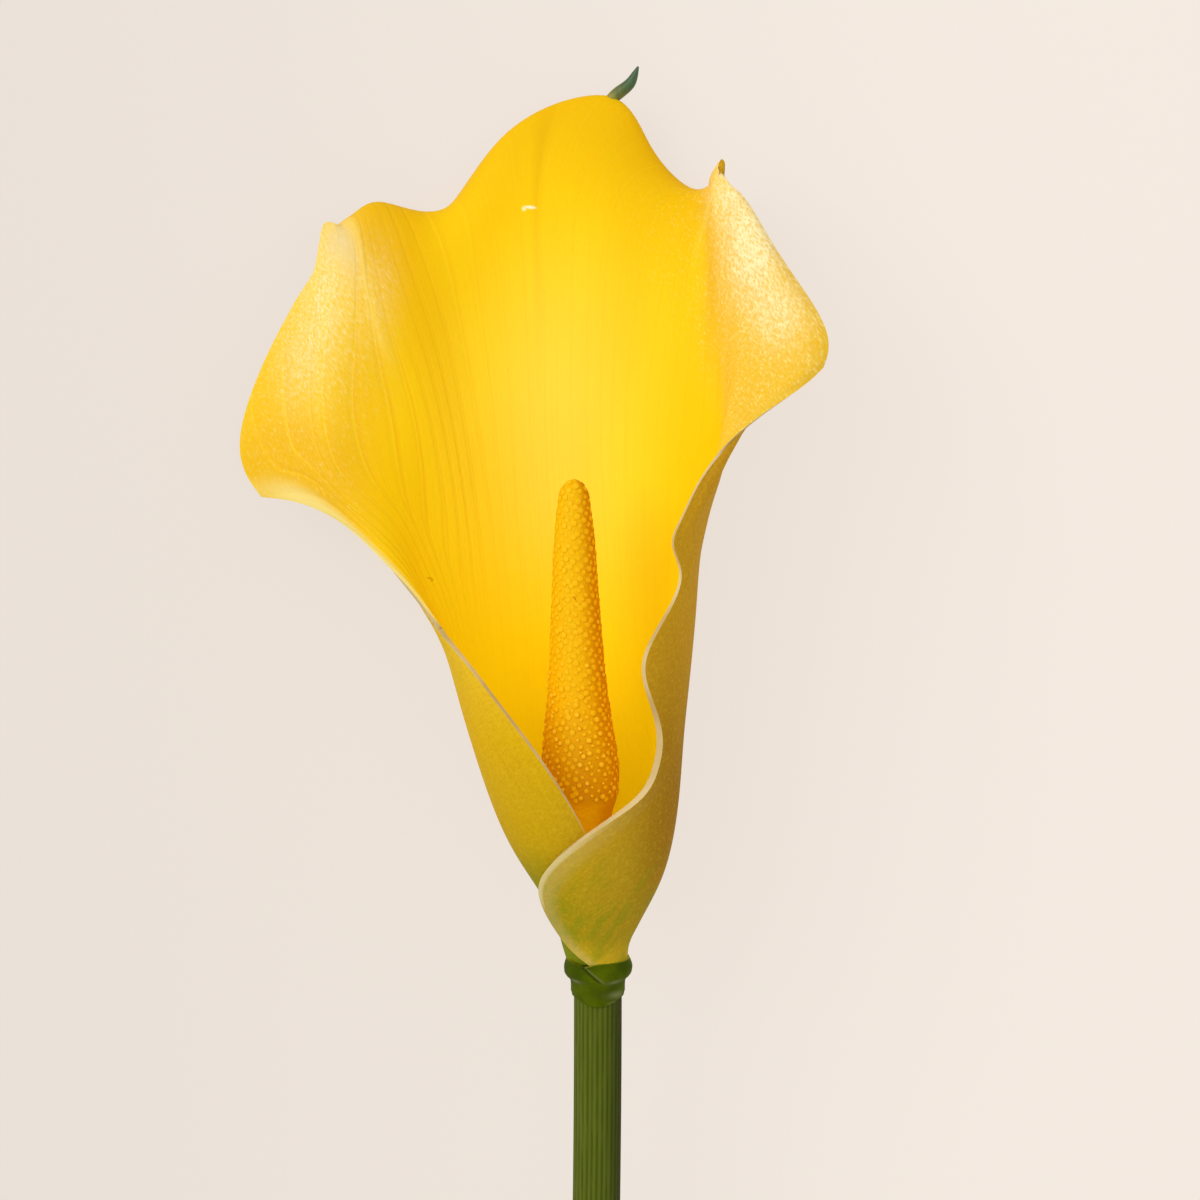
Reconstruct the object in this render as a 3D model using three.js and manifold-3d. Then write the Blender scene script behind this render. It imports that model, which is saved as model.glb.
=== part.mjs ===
// A cut calla lily flower, lying on its back on a flat surface.
// One yellow sheet (the spathe) is rolled round an orange column (the spadix) and opens into a
// waved trumpet with a small green horn at its tip. A ribbed green stem with a collar carries both.
//
// Every shape is first drawn in the flower's own frame: x to the flower's right, y up its axis
// from the foot of the collar, z out of its open front. layDown() then turns it on to the surface:
// head towards +Y, open front up, underside at Z = 0.

import * as THREE from 'three';
import { mergeGeometries, mergeVertices } from 'three/addons/utils/BufferGeometryUtils.js';
import Module from 'manifold-3d';

const wasm = await Module();
wasm.setup();

// ---- Driving dimensions: millimetres, and degrees where the name or comment says so ----

// How the flower lies
const HEAD_LIFT = 5.4;          // degrees from the surface up to the flower's axis
const AXIS_HEIGHT = 20.45;      // of the collar's foot above the surface

// Sheet. A hoop runs from the left free edge round the back to the right free edge, and the
// hoops follow each other from the foot to the upper rim. Each point holds its turn round the
// leaning axis in degrees (0 at the back, positive to the right), its radius and its height.
const SHEET_HOOPS = [
  [[-205, 2.9, 5.0], [-97, 3.9, 5.0], [0, 3.9, 5.0], [96, 3.9, 5.0], [192, 4.3, 5.0]],
  [[-205, 3.7, 8.8], [-97, 4.8, 8.8], [0, 4.6, 8.8], [116, 4.7, 8.8], [232, 5.9, 8.6]],
  [[-198, 6.9, 15.5], [-101, 7.6, 15.5], [0, 8.0, 15.5], [117, 8.5, 15.4], [237, 8.9, 15.2]],
  [[-179, 11.0, 24.6], [-90, 12.2, 25.0], [0, 12.2, 25.5], [90, 11.8, 25.0], [181, 12.9, 25.3]],
  [[-152.5, 14.8, 37.6], [-95, 15.8, 39.5], [-46, 16.2, 43], [-2, 15.8, 45], [42, 15.2, 43.5],
    [88, 14.4, 40.5], [136, 15.4, 36.7]],
  [[-119.5, 16.1, 47.2], [-81, 18.2, 50.5], [-40, 18.4, 59], [-2, 17.2, 61.5], [40, 16.5, 60.5],
    [88, 17.1, 56], [147, 17.6, 49]],
  [[-93, 19.7, 53.7], [-74, 21.9, 61], [-38, 19.9, 74], [0, 17.4, 79], [41, 17.8, 77],
    [85, 19.3, 69], [125, 19.1, 60]],
  [[-87, 24.4, 59.7], [-76, 26.2, 72], [-40, 21.6, 90], [5, 17.6, 97], [45, 20.2, 93],
    [86, 23.2, 79.4], [126, 21.5, 70.3]],
  [[-82, 30.8, 65.9], [-77, 32.4, 81.5], [-45, 23.0, 102], [10, 18.5, 113], [48, 24.1, 106],
    [77, 26.5, 93.2], [109, 25.3, 79.1]],
  [[-76, 38.4, 68.7], [-75, 39.5, 77.5], [-70, 36.9, 90], [-66, 33.9, 98.4], [-60, 31.0, 104.6],
    [-50, 29.4, 110.2], [-33, 25.4, 109.3], [-11, 20.5, 119.4], [24, 21.4, 123.8],
    [37.5, 25.3, 118.1], [46, 29.4, 112.8], [55, 29.4, 112.5], [65, 29.1, 111.4],
    [79, 29.9, 104.7], [89, 32.8, 96.7], [95, 34.3, 91], [98, 33.6, 85.4]],
  [[-74, 44.8, 69.2], [-73, 47.6, 77.2], [-67.5, 43.6, 89.8], [-63.7, 39.3, 98.1],
    [-58.5, 35.1, 107.0], [-46, 33.8, 105.4], [-33, 32.4, 103.8], [-13, 24.6, 117.4],
    [28, 23.5, 125.6], [36, 28.2, 117.3], [41, 35.2, 107.0], [50, 32.3, 109.8],
    [61.3, 29.9, 116.0], [78, 32.6, 107.0], [87, 36.3, 99.4], [93, 39.0, 93.4], [95, 38.2, 89.0]],
];
const AXIS_LEAN = { right: -0.085, front: -0.045, from: 10 };  // millimetres for each above `from`
// Two bends of the right free edge: how far along the sheet (0 foot, 1 rim), their half length
// along it and in from the edge, and their turn in degrees
const EDGE_BENDS = [
  { along: 0.655, length: 0.035, inward: 0.22, turn: 8 },
  { along: 0.35, length: 0.03, inward: 0.25, turn: -5 },
];
const SHEET_THICKNESS = { foot: 0.75, belly: 1.05, rim: 0.8 };
const BELLY_ALONG = 0.35;       // where the sheet is thickest, between foot 0 and rim 1
const SHEET_CELLS = { round: 60, along: 30 };

// Horn at the sheet's tip
const HORN_POINTS = [            // right, up, front
  [1.5, 125.0, -25.7], [2.9, 126.3, -25.7], [4.4, 127.5, -25.5], [5.2, 128.8, -25.3],
  [5.8, 130.2, -25.0],
];
const HORN_RADII = [0.85, 0.75, 0.6, 0.4, 0.12];
const HORN_SIDES = 8;
const HORN_STEPS = 7;

// Column: a bare stalk at the foot, then rows of florets up to a domed tip
const COLUMN_HEIGHTS = [5, 8, 14, 22, 26, 29, 33, 36, 40, 46, 55, 63, 67, 70];
const COLUMN_RADII = [2.0, 2.2, 2.8, 3.4, 4.3, 5.25, 5.45, 5.15, 4.6, 4.05, 3.5, 3.05, 2.7, 2.3];
const COLUMN_DOME = 3.2;
// It leans out by `right` and `front` in all, from the height `from`, and eases out over `reach`
const COLUMN_BEND = { right: -3.6, front: -2.1, from: 4, reach: 25 };
const FLORETS_FROM = 28;        // height above which they stand out
const FLORET = { round: 11, rows: 22, height: 0.4 };    // larger than life
const COLUMN_RINGS = { stalk: 7, florets: 60, dome: 5 };
const COLUMN_SIDES = 33;
const DOME_END = 78;            // degrees up the dome where its last ring closes flat

// Stem and collar
const STEM_LENGTH = 153;        // below the collar's foot
const STEM_RADIUS = 3.4;
const STEM_RIBS = 20;
const RIB_DEPTH = 0.13;
const STEM_BOW = { right: -5, front: -3.3 };              // of its cut end from the flower's axis
const STEM_STEPS = 16;
const STEM_TOP = 1.0;           // where the ribs run in under the collar
const COLLAR_PROFILE = [        // radius, height
  [0, -1.0], [3.2, -1.0], [3.75, -0.3], [4.1, 0.9], [4.2, 1.9], [4.5, 2.4], [4.85, 3.3],
  [4.9, 4.2], [4.65, 4.7], [0, 4.7],
];
const COLLAR_SIDES = 40;

const COLOURS = { spathe: 0xf7c51d, spadix: 0xe79a08, stem: 0x4f7a24 };
const FINISHES = {
  spathe: { color: COLOURS.spathe, roughness: 0.5, metalness: 0, side: THREE.DoubleSide },
  spadix: { color: COLOURS.spadix, roughness: 0.65, metalness: 0 },
  stem: { color: COLOURS.stem, roughness: 0.5, metalness: 0 },
};

const FLOOR_BLOCK = 600;        // side of the block below the surface that trims the underside
const NORMAL_STEP = 0.002;      // share of the sheet over which its slope is measured

// ---- Curves ----

// Natural cubic spline through evenly spaced values, read at u from 0 to 1.
function naturalSpline(values) {
  const last = values.length - 1;
  const bend = new Array(last + 1).fill(0);
  const sweep = new Array(last + 1).fill(0);
  for (let i = 1; i < last; i++) {
    const pivot = 4 - sweep[i - 1];
    const load = 6 * (values[i - 1] - 2 * values[i] + values[i + 1]);
    sweep[i] = 1 / pivot;
    bend[i] = (load - bend[i - 1]) / pivot;
  }
  for (let i = last - 1; i > 0; i--) {
    bend[i] -= sweep[i] * bend[i + 1];
  }
  return (u) => {
    const i = Math.min(Math.max(Math.floor(u * last), 0), last - 1);
    const f = u * last - i;
    const g = 1 - f;
    const line = g * values[i] + f * values[i + 1];
    return line + ((g ** 3 - g) * bend[i] + (f ** 3 - f) * bend[i + 1]) / 6;
  };
}

// Monotone reading of a profile given as matching lists of positions and values.
function profileAt(positions, values, x) {
  const last = positions.length - 1;
  if (x <= positions[0]) {
    return values[0];
  }
  if (x >= positions[last]) {
    return values[last];
  }
  const i = positions.findIndex((p) => p > x) - 1;
  const slope = (k) => (values[k + 1] - values[k]) / (positions[k + 1] - positions[k]);
  const tangent = (k) => {
    if (k === 0 || k === last) {
      return slope(k === 0 ? 0 : last - 1);
    }
    const product = slope(k - 1) * slope(k);
    return product <= 0 ? 0 : (2 * product) / (slope(k - 1) + slope(k));
  };
  const width = positions[i + 1] - positions[i];
  const f = (x - positions[i]) / width;
  const g = 1 - f;
  return g * g * (1 + 2 * f) * values[i] + f * f * (3 - 2 * f) * values[i + 1]
    + width * f * g * (g * tangent(i) - f * tangent(i + 1));
}

const radians = THREE.MathUtils.degToRad;

// ---- Solids ----

// A closed mesh from a grid of points on its two faces, both split into triangles alike.
function slabGeometry(face, back, columns, rows) {
  const at = (side, i, j) => side * (columns + 1) * (rows + 1) + j * (columns + 1) + i;
  const index = [];
  const quad = (a, b, c, d) => index.push(a, b, c, a, c, d);
  for (let j = 0; j < rows; j++) {
    for (let i = 0; i < columns; i++) {
      quad(at(0, i, j), at(0, i + 1, j), at(0, i + 1, j + 1), at(0, i, j + 1));
      // the same diagonal as on the face, turned to look the other way
      index.push(at(1, i, j), at(1, i + 1, j + 1), at(1, i + 1, j));
      index.push(at(1, i, j), at(1, i, j + 1), at(1, i + 1, j + 1));
    }
  }
  for (let i = 0; i < columns; i++) {
    quad(at(1, i, 0), at(1, i + 1, 0), at(0, i + 1, 0), at(0, i, 0));
    quad(at(0, i, rows), at(0, i + 1, rows), at(1, i + 1, rows), at(1, i, rows));
  }
  for (let j = 0; j < rows; j++) {
    quad(at(0, 0, j), at(0, 0, j + 1), at(1, 0, j + 1), at(1, 0, j));
    quad(at(1, columns, j), at(1, columns, j + 1), at(0, columns, j + 1), at(0, columns, j));
  }
  const geometry = new THREE.BufferGeometry();
  const points = [...face, ...back].flatMap((p) => [p.x, p.y, p.z]);
  geometry.setAttribute('position', new THREE.Float32BufferAttribute(points, 3));
  geometry.setIndex(index);
  return geometry;
}

// A closed mesh from rings of points, with flat ends: ring k is given by its points in order.
function ringsGeometry(rings) {
  const sides = rings[0].length;
  const points = rings.flat().flatMap((p) => [p.x, p.y, p.z]);
  const middle = (ring) => ring.reduce((sum, p) => sum.add(p), new THREE.Vector3())
    .divideScalar(sides);
  const first = middle(rings[0]);
  const last = middle(rings[rings.length - 1]);
  const firstIndex = points.length / 3;
  points.push(first.x, first.y, first.z, last.x, last.y, last.z);
  const index = [];
  for (let k = 0; k < rings.length - 1; k++) {
    for (let i = 0; i < sides; i++) {
      const next = (i + 1) % sides;
      const a = k * sides + i;
      const b = k * sides + next;
      index.push(a, b, a + sides, b, b + sides, a + sides);
    }
  }
  const top = (rings.length - 1) * sides;
  for (let i = 0; i < sides; i++) {
    const next = (i + 1) % sides;
    index.push(firstIndex, next, i);
    index.push(firstIndex + 1, top + i, top + next);
  }
  const geometry = new THREE.BufferGeometry();
  geometry.setAttribute('position', new THREE.Float32BufferAttribute(points, 3));
  geometry.setIndex(index);
  return geometry;
}

function toSolid(geometry) {
  const bare = geometry.clone();
  bare.deleteAttribute('normal');
  bare.deleteAttribute('uv');
  const merged = mergeVertices(bare);
  return new wasm.Manifold(new wasm.Mesh({
    numProp: 3,
    vertProperties: new Float32Array(merged.attributes.position.array),
    triVerts: new Uint32Array(merged.index.array),
  }));
}

function toGeometry(solid) {
  const mesh = solid.getMesh();
  const geometry = new THREE.BufferGeometry();
  geometry.setAttribute('position', new THREE.BufferAttribute(mesh.vertProperties, 3));
  geometry.setIndex(new THREE.BufferAttribute(mesh.triVerts, 1));
  geometry.computeVertexNormals();
  return geometry;
}

// Turns a shape from the flower's frame on to the surface.
function layDown(geometry) {
  geometry.rotateX(radians(HEAD_LIFT));
  geometry.translate(0, 0, AXIS_HEIGHT);
  return geometry;
}

function floorSolid() {
  const block = new THREE.BoxGeometry(FLOOR_BLOCK, FLOOR_BLOCK, FLOOR_BLOCK);
  block.translate(0, 0, -FLOOR_BLOCK / 2);
  return toSolid(block);
}

// ---- Sheet ----

// Point of the sheet's middle surface, x, y, z in the flower's frame.
// across runs from -1 at the left free edge to 1 at the right one, along from 0 foot to 1 rim.
function makeSheet() {
  const hoops = SHEET_HOOPS.map((points) => [0, 1, 2].map((k) => (
    naturalSpline(points.map((p) => p[k]))
  )));
  return (across, along) => {
    const u = (across + 1) / 2;
    const [turn, radius, height] = [0, 1, 2].map((k) => (
      naturalSpline(hoops.map((hoop) => hoop[k](u)))(along)
    ));
    const bends = EDGE_BENDS.reduce((sum, bend) => sum + bend.turn
      * Math.exp(-(((across - 1) / bend.inward) ** 2) - ((along - bend.along) / bend.length) ** 2), 0);
    const angle = radians(turn + bends);
    const rise = Math.max(height - AXIS_LEAN.from, 0);
    return new THREE.Vector3(
      AXIS_LEAN.right * rise + radius * Math.sin(angle),
      height,
      AXIS_LEAN.front * rise - radius * Math.cos(angle),
    );
  };
}

function sheetThickness(along) {
  const { foot, belly, rim } = SHEET_THICKNESS;
  const spread = along < BELLY_ALONG ? along / BELLY_ALONG : (1 - along) / (1 - BELLY_ALONG);
  const end = along < BELLY_ALONG ? foot : rim;
  const ease = spread * spread * (3 - 2 * spread);
  return end + (belly - end) * ease;
}

function sheetGeometry() {
  const sheet = makeSheet();
  const { round, along: rows } = SHEET_CELLS;
  const face = [];
  const back = [];
  for (let j = 0; j <= rows; j++) {
    for (let i = 0; i <= round; i++) {
      const across = -1 + (2 * i) / round;
      const along = j / rows;
      const low = Math.max(along - NORMAL_STEP, 0);
      const high = Math.min(along + NORMAL_STEP, 1);
      const left = Math.max(across - NORMAL_STEP, -1);
      const right = Math.min(across + NORMAL_STEP, 1);
      const up = sheet(across, high).sub(sheet(across, low));
      const over = sheet(right, along).sub(sheet(left, along));
      const normal = over.cross(up).normalize();
      const half = sheetThickness(along) / 2;
      const middle = sheet(across, along);
      face.push(middle.clone().addScaledVector(normal, half));
      back.push(middle.clone().addScaledVector(normal, -half));
    }
  }
  return slabGeometry(face, back, round, rows);
}

function hornGeometry() {
  const path = new THREE.CatmullRomCurve3(HORN_POINTS.map((p) => new THREE.Vector3(...p)));
  const frames = path.computeFrenetFrames(HORN_STEPS);
  const thickness = naturalSpline(HORN_RADII);
  const rings = [];
  for (let k = 0; k <= HORN_STEPS; k++) {
    const u = k / HORN_STEPS;
    const centre = path.getPointAt(u);
    const ring = [];
    for (let i = 0; i < HORN_SIDES; i++) {
      const angle = (2 * Math.PI * i) / HORN_SIDES;
      ring.push(centre.clone()
        .addScaledVector(frames.normals[k], thickness(u) * Math.cos(angle))
        .addScaledVector(frames.binormals[k], thickness(u) * Math.sin(angle)));
    }
    rings.push(ring);
  }
  return ringsGeometry(rings);
}

function spatheGeometry() {
  const sheet = toSolid(layDown(sheetGeometry()));
  const horn = toSolid(layDown(hornGeometry()));
  return toGeometry(sheet.add(horn).subtract(floorSolid()));
}

// ---- Column ----

// Rows of dots, every second row set half a dot round, raised from the column's surface.
function floretRelief(turns, height) {
  const span = COLUMN_HEIGHTS[COLUMN_HEIGHTS.length - 1] + COLUMN_DOME - FLORETS_FROM;
  const row = ((height - FLORETS_FROM) / span) * FLORET.rows;
  const dots = Math.cos(2 * Math.PI * turns * FLORET.round) * Math.cos(Math.PI * row);
  const start = THREE.MathUtils.smoothstep(row, 0, 1);
  const end = THREE.MathUtils.smoothstep(FLORET.rows - row, 0, 2);
  return FLORET.height * dots * start * end;
}

// Height and radius of each ring of the column, from its foot to the top of its dome.
function columnOutline() {
  const foot = COLUMN_HEIGHTS[0];
  const shoulder = COLUMN_HEIGHTS[COLUMN_HEIGHTS.length - 1];
  const outline = [];
  const addSide = (from, to, count) => {
    for (let k = 0; k < count; k++) {
      const height = from + ((to - from) * k) / count;
      outline.push({ height, radius: profileAt(COLUMN_HEIGHTS, COLUMN_RADII, height) });
    }
  };
  addSide(foot, FLORETS_FROM, COLUMN_RINGS.stalk);
  addSide(FLORETS_FROM, shoulder, COLUMN_RINGS.florets);
  const top = COLUMN_RADII[COLUMN_RADII.length - 1];
  for (let k = 0; k <= COLUMN_RINGS.dome; k++) {
    const angle = radians((DOME_END * k) / COLUMN_RINGS.dome);
    outline.push({ height: shoulder + COLUMN_DOME * Math.sin(angle), radius: top * Math.cos(angle) });
  }
  return outline;
}

function columnGeometry() {
  const rings = columnOutline().map(({ height, radius: base }) => {
    const lean = 1 - Math.exp(-(height - COLUMN_BEND.from) / COLUMN_BEND.reach);
    const ring = [];
    for (let i = 0; i < COLUMN_SIDES; i++) {
      const turns = i / COLUMN_SIDES;
      const radius = base + floretRelief(turns, height);
      ring.push(new THREE.Vector3(
        COLUMN_BEND.right * lean + radius * Math.sin(2 * Math.PI * turns),
        height,
        COLUMN_BEND.front * lean + radius * Math.cos(2 * Math.PI * turns),
      ));
    }
    return ring;
  });
  return ringsGeometry(rings);
}

// ---- Stem and collar ----

function ribbedSection() {
  const points = [];
  const steps = STEM_RIBS * 2;
  for (let i = 0; i < steps; i++) {
    const angle = (2 * Math.PI * i) / steps;
    const radius = STEM_RADIUS - (i % 2 ? RIB_DEPTH : 0);
    points.push(new THREE.Vector2(radius * Math.cos(angle), radius * Math.sin(angle)));
  }
  return new THREE.Shape(points);
}

function stemGeometry() {
  // the cut end bows away from the axis, and the top runs straight into the collar
  const path = new THREE.CatmullRomCurve3([1, 0.75, 0.5, 0.25, 0].map((share) => (
    new THREE.Vector3(
      STEM_BOW.right * share ** 2,
      STEM_TOP - (STEM_LENGTH + STEM_TOP) * share,
      STEM_BOW.front * share ** 2,
    )
  )));
  return new THREE.ExtrudeGeometry(ribbedSection(), { steps: STEM_STEPS, extrudePath: path });
}

function collarGeometry() {
  const profile = COLLAR_PROFILE.map(([radius, height]) => new THREE.Vector2(radius, height));
  return new THREE.LatheGeometry(profile, COLLAR_SIDES);
}

function stalkGeometry() {
  const stem = toSolid(layDown(stemGeometry()));
  const collar = toSolid(layDown(collarGeometry()));
  return toGeometry(stem.add(collar).subtract(floorSolid()));
}

// ---- The flower ----

function build() {
  const shapes = {
    stem: stalkGeometry(),
    spathe: spatheGeometry(),
    spadix: layDown(columnGeometry()),
  };
  // the origin lies under the middle of the whole flower
  const all = mergeGeometries(Object.values(shapes).map((shape) => {
    const bare = shape.clone();
    bare.deleteAttribute('normal');
    return bare;
  }));
  all.computeBoundingBox();
  const middle = all.boundingBox.getCenter(new THREE.Vector3());
  const flower = new THREE.Group();
  flower.name = 'calla_lily';
  for (const [name, shape] of Object.entries(shapes)) {
    shape.translate(-middle.x, -middle.y, 0);
    const mesh = new THREE.Mesh(shape, new THREE.MeshStandardMaterial(FINISHES[name]));
    mesh.name = name;
    flower.add(mesh);
  }
  return flower;
}

const flower = build();
export default flower;
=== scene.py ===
# A cut calla lily lying on its back: the looks of its petal, column, collar and stem.
#
# Shapes are drawn in the flower's own frame (right, up its axis, front) in millimetres, and
# lay_down() turns them on to the surface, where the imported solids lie.

import functools
import math

import bmesh
import bpy
import numpy as np
from bpy.props import FloatProperty, FloatVectorProperty, IntProperty, PointerProperty
from bpy.types import Operator, Panel, PropertyGroup
from mathutils import Euler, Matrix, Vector


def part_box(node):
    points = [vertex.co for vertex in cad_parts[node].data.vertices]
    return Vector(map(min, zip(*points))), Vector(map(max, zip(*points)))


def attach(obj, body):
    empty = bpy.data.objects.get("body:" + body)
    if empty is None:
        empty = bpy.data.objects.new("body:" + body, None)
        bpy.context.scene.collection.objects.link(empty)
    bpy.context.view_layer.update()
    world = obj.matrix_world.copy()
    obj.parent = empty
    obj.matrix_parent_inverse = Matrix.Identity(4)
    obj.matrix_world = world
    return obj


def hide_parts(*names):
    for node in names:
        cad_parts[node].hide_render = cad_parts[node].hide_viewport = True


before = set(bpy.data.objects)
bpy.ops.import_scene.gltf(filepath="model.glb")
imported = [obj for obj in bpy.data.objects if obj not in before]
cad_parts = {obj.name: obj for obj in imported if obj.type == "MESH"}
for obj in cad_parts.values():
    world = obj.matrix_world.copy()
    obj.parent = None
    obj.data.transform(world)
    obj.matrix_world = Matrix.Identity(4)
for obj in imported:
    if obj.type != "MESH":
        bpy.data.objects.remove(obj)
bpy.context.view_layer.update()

bl_info = {
    "name": "Calla Lily",
    "version": (1, 0, 0),
    "blender": (4, 5, 0),
    "location": "View3D > Sidebar > Calla Lily",
    "description": "Builds a cut calla lily lying on its back, with its lights and camera",
    "category": "Object",
}

BODY = "root"
MM = 0.001

# How the flower lies, as in the part's source
HEAD_LIFT = math.radians(5.4)
AXIS_HEIGHT = 20.45

# Sheet: from the left free edge round the back to the right one, hoop by hoop from the foot
# to the rim. A point holds its turn in degrees (0 at the back), radius and height.
SHEET_HOOPS = [
    [[-205, 2.9, 5], [-97, 3.9, 5], [0, 3.9, 5], [96, 3.9, 5], [192, 4.3, 5]],
    [[-205, 3.7, 8.8], [-97, 4.8, 8.8], [0, 4.6, 8.8], [116, 4.7, 8.8], [232, 5.9, 8.6]],
    [[-198, 6.9, 15.5], [-101, 7.6, 15.5], [0, 8, 15.5], [117, 8.5, 15.4], [237, 8.9, 15.2]],
    [[-179, 11, 24.6], [-90, 12.2, 25], [0, 12.2, 25.5], [90, 11.8, 25], [181, 12.9, 25.3]],
    [[-152.5, 14.8, 37.6], [-95, 15.8, 39.5], [-46, 16.2, 43], [-2, 15.8, 45], [42, 15.2, 43.5],
     [88, 14.4, 40.5], [136, 15.4, 36.7]],
    [[-119.5, 16.1, 47.2], [-81, 18.2, 50.5], [-40, 18.4, 59], [-2, 17.2, 61.5], [40, 16.5, 60.5],
     [88, 17.1, 56], [147, 17.6, 49]],
    [[-93, 19.7, 53.7], [-74, 21.9, 61], [-38, 19.9, 74], [0, 17.4, 79], [41, 17.8, 77],
     [85, 19.3, 69], [125, 19.1, 60]],
    [[-87, 24.4, 59.7], [-76, 26.2, 72], [-40, 21.6, 90], [5, 17.6, 97], [45, 20.2, 93],
     [86, 23.2, 79.4], [126, 21.5, 70.3]],
    [[-82, 30.8, 65.9], [-77, 32.4, 81.5], [-45, 23, 102], [10, 18.5, 113], [48, 24.1, 106],
     [77, 26.5, 93.2], [109, 25.3, 79.1]],
    [[-76, 38.4, 68.7], [-75, 39.5, 77.5], [-70, 36.9, 90], [-66, 33.9, 98.4], [-60, 31, 104.6],
     [-50, 29.4, 110.2], [-33, 25.4, 109.3], [-11, 20.5, 119.4], [24, 21.4, 123.8],
     [37.5, 25.3, 118.1], [46, 29.4, 112.8], [55, 29.4, 112.5], [65, 29.1, 111.4],
     [79, 29.9, 104.7], [89, 32.8, 96.7], [95, 34.3, 91], [98, 33.6, 85.4]],
    [[-74, 44.8, 69.2], [-73, 47.6, 77.2], [-67.5, 43.6, 89.8], [-63.7, 39.3, 98.1],
     [-58.5, 35.1, 107], [-46, 33.8, 105.4], [-33, 32.4, 103.8], [-13, 24.6, 117.4],
     [28, 23.5, 125.6], [36, 28.2, 117.3], [41, 35.2, 107], [50, 32.3, 109.8],
     [61.3, 29.9, 116], [78, 32.6, 107], [87, 36.3, 99.4], [93, 39, 93.4], [95, 38.2, 89]],
]
SHEET_LEAN = {"right": -0.085, "front": -0.045, "from": 10}
# Bends of the right free edge: place and reach across and along the sheet, and degrees
EDGE_BENDS = [((1, 0.655), (0.22, 0.035), 8), ((1, 0.35), (0.25, 0.03), -5)]
SHEET_THICKNESS = {"foot": 0.75, "belly": 1.05, "rim": 0.8}
BELLY_ALONG = 0.35
SOLID_CELLS = (60, 30)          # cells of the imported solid's sheet, round and along

# Small swells of the sheet that the solid leaves out: place and reach across and along it, and
# how far they stand to the right, up and to the front
SWELLS = [
    ((-0.532, 1), (0.024, 0.06), (0.1, 2.3, 0.1)),
    ((-0.503, 1), (0.016, 0.05), (0.2, -0.4, 0)),
    ((-0.59, 1), (0.035, 0.07), (0.8, 0, 0.1)),
    ((-0.8, 1), (0.15, 0.3), (0.06, 0, 0)),
    ((0.468, 1), (0.018, 0.05), (1.3, 1.4, 0.2)),
    ((0.53, 1), (0.03, 0.06), (0, -1.0, 0)),
    ((0.93, 0.79), (0.045, 0.1), (1.9, 0, 0)),
    ((-0.52, 0.07), (0.2, 0.07), (-0.32, 0, 0.12)),
]
# Share of the sheet's thickness that is left at its free edges, and how far in they thin
THINNING = {"left": 0.75, "right": 0.42, "rim": 0.55, "inward": 0.05, "down": 0.03}

# Soft patches on the petal: strength, centre and reach in the flower's frame. The pale and grey patches are
# painted sheen, the pale ones over the wings' paler colour; the deep ones are painted shade.
PALE_PATCHES = [
    (0.2, (-31.5, 98, -18), (2.6, 7, 6)), (0.44, (-38.5, 99, -19), (3.8, 10, 12)),
    (0.3, (-42, 89, -17), (4, 7, 12)), (0.75, (19, 112.5, -18.5), (2.6, 5, 8)),
    (1.1, (22, 105, -10.5), (3.4, 6.5, 9)), (0.6, (25.5, 96, -5), (3.6, 4.5, 8)),
]
GREY_PATCHES = [(0.7, (-36.5, 105.5, -21), (2.6, 3.6, 6)), (0.4, (-34, 102, -19), (2, 3.6, 6))]
DEEP_PATCHES = [(0.7, (-42, 73.5, -12), (9, 5, 8))]
BROWN_PATCHES = [(0.6, (-46, 69.5, -15), (2.5, 1.5, 4)), (0.5, (32.5, 91, -3), (3, 3, 5)),
                 (1, (18, 117.5, -19), (1.6, 1.5, 4))]

# Small marks: place, half size, turn about the view and colour
PETAL_MARKS = [
    ((-9.7, 110.1, -22.8), (1.15, 0.34, 3), 0.1, (255, 242, 196)),
    ((-10.6, 109.9, -22.8), (0.5, 0.5, 3), 0, (255, 236, 160)),
    ((-23.9, 58.4, -8.4), (0.7, 0.24, 2.5), 0.3, (222, 166, 0)),
    ((-23.5, 58.1, -8.4), (0.26, 0.36, 2.5), 0, (222, 166, 0)),
]
COLUMN_MARK = ((-3.2, 56.8, 1.6), (0.11, 0.75, 2), -0.55, (206, 112, 10))

HORN_POINTS = [[1.5, 125.0, -25.7], [2.9, 126.3, -25.7], [4.4, 127.5, -25.5],
               [5.2, 128.8, -25.3], [5.8, 130.2, -25.0]]
HORN_RADII = [0.85, 0.92, 0.82, 0.56, 0.12]

COLUMN_HEIGHTS = [5, 8, 14, 22, 26, 29, 33, 36, 40, 46, 55, 63, 67, 70]
COLUMN_RADII = [2.0, 2.2, 2.8, 3.4, 4.3, 5.25, 5.45, 5.15, 4.6, 4.05, 3.5, 3.05, 2.7, 2.3]
COLUMN_DOME = 3.2
COLUMN_BEND = {"right": -3.6, "front": -2.1, "from": 4, "reach": 25}
FLORETS_FROM = 28

STEM_LENGTH = 152.95
STEM_TOP = 1.0
STEM_BOW = {"right": -5, "front": -3.3}

# Collar: radius and height up its outside, from under the skirt to the lip on the sheet
COLLAR_OUTLINE = [[3.3, -0.95], [3.62, -0.9], [3.75, -0.45], [3.84, 0.4], [3.86, 1.3],
                  [3.92, 2.0], [4.05, 2.35], [4.5, 2.8], [4.8, 3.4], [4.84, 4.1], [4.72, 4.7],
                  [4.55, 5.2], [4.42, 5.45]]
FRONT = math.pi                 # turns are measured from the back, to the right


# ---- Curves ----

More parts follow.
